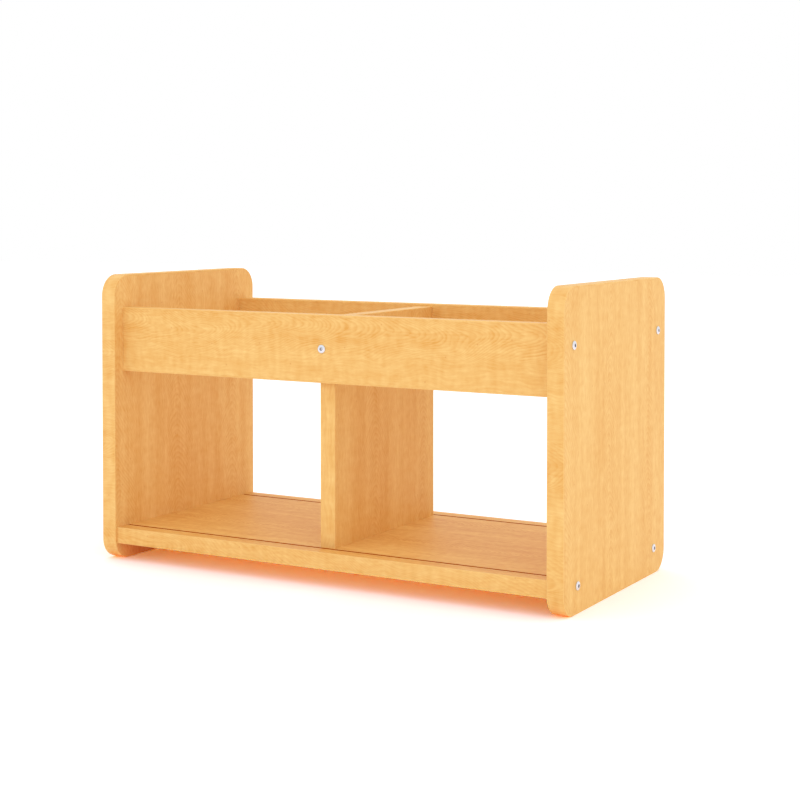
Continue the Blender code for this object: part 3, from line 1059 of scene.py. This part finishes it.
def stack(name, rings):
    """A closed mesh that joins each ring to the next, with a face on the first and on the last."""
    bm = bmesh.new()
    rows = [[bm.verts.new(point) for point in points] for points in rings]
    for row, following in zip(rows, rows[1:]):
        for p in range(RING_POINTS):
            q = (p + 1) % RING_POINTS
            bm.faces.new((row[p], following[p], following[q], row[q]))
    bm.faces.new(rows[0])
    bm.faces.new(rows[-1])
    bmesh.ops.recalc_face_normals(bm, faces=bm.faces)
    mesh = bpy.data.meshes.new(name)
    bm.to_mesh(mesh)
    bm.free()
    mesh.shade_smooth()
    mesh.set_sharp_from_angle(angle=FLAT_JOINT)
    return mesh


SCREW_MESH = stack("plated_screw", screw_rings())
print("screw:", len(SCREW_MESH.polygons), "faces")

# %% [markdown]
# ## Bright zinc
# Zinc plate is a bright, faintly blue metal. The head was turned, so fine rings run round it and catch
# the light, and the plating bath left it slightly uneven. The socket is coloured a darker grey, which is
# painted shade in its recess. All of this is worked out from the distance to the screw's own axis.

# %% Zinc material
ZINC_BRIGHT = (0.84, 0.87, 0.92, 1)
ZINC_DULL = (0.70, 0.73, 0.79, 1)
SOCKET_PAINTED_SHADE = (0.50, 0.50, 0.53, 1)
SOCKET_EDGE = 0.00015
TURNING_PITCH = 0.00035
TURNING_DEPTH = 0.00001
TURNING_STRENGTH = 0.4
CLOUDS_PER_METRE = 900.0
CLOUD_DETAIL = 3.0
ZINC_ROUGHNESS = 0.14
ZINC_SPREAD = 0.16


def zinc_material():
    material, tree, shader = new_material("bright_zinc_plate")
    shader["Metallic"].default_value = 1.0
    place = from_place(tree)
    flat = add_node(tree, "VectorMath", {0: place, 1: (1, 1, 0)}, operation="MULTIPLY").outputs[0]
    radius = add_node(tree, "VectorMath", {0: flat}, operation="LENGTH").outputs["Value"]
    rings = maths(tree, "SINE", maths(tree, "MULTIPLY", radius, 2 * math.pi / TURNING_PITCH))
    clouds = {"Vector": place, "Scale": CLOUDS_PER_METRE, "Detail": CLOUD_DETAIL}
    cloud = add_node(tree, "TexNoise", clouds).outputs[0]
    colour = blend_colours(tree, cloud, ZINC_DULL, ZINC_BRIGHT)
    # Painted shade: inside the socket's mouth the colour turns to a darker grey.
    mouth = SOCKET_FLATS / 2 / math.cos(math.pi / SOCKET_SIDES)
    outside = smooth_step(tree, radius, mouth - SOCKET_EDGE, mouth + SOCKET_EDGE)
    tree.links.new(blend_colours(tree, outside, SOCKET_PAINTED_SHADE, colour), shader["Base Color"])
    roughness = maths(tree, "ADD", maths(tree, "MULTIPLY", cloud, ZINC_SPREAD), ZINC_ROUGHNESS)
    tree.links.new(roughness, shader["Roughness"])
    relief = {"Height": rings, "Distance": TURNING_DEPTH, "Strength": TURNING_STRENGTH}
    tree.links.new(add_node(tree, "Bump", relief).outputs[0], shader["Normal"])
    return material


ZINC = zinc_material()
print("zinc:", ZINC.name)

# %% [markdown]
# ## Driving the screws
# Four screws go through each end panel, one through the middle of each rail, and two up through the base
# into the divider. All share one mesh. A driven head bears on its board, so each screw goes deeper than
# its solid by the joint's small gap.

# %% Screws
HEAD_SIDES = {"left": (0, -1), "right": (0, 1), "front": (1, -1), "rear": (1, 1), "foot": (2, -1)}


def head_side(node):
    """The axis and direction in which a screw's head faces, from the words of its name."""
    words = node.split("_")
    return HEAD_SIDES["foot" if "foot" in words else words[0]]


def drive_screw(node):
    low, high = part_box(node)
    axis, sign = head_side(node)
    outward = AXES[axis] * sign
    seat = (low + high) / 2
    seat[axis] = (high if sign > 0 else low)[axis] - sign * (HEAD_HEIGHT + CLOSING)
    piece = put_on(node, "plated", SCREW_MESH, ZINC)
    piece.matrix_world = outward.to_track_quat("Z", "Y").to_matrix().to_4x4()
    piece.matrix_world.translation = seat
    return piece


screws = [drive_screw(name) for name in FASTENERS if name.endswith("screw")]
print("screws:", len(screws))

# %% [markdown]
# ## The wooden pegs
# A peg in each rail end keeps the rail from turning on its screw. The pegs are shut in, so their solids
# stay, and get plain beech: the same print with its own colours and hardly any figure.

# %% Pegs
PALE_BEECH = (0.78, 0.56, 0.33, 1)
DARK_BEECH = (0.62, 0.40, 0.21, 1)
BEECH_PRINT = {**RAIL_PRINT, "Lines": 0.1, "Curl": 0.1, "Fibre": 0.8}

BEECH = wood_material("plain_beech_wood", from_place, PALE_BEECH, DARK_BEECH, BEECH_PRINT, SATIN)
pegs = [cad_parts[name] for name in FASTENERS if name.endswith("dowel")]
for peg in pegs:
    peg.material_slots[0].material = BEECH
print("pegs:", len(pegs))
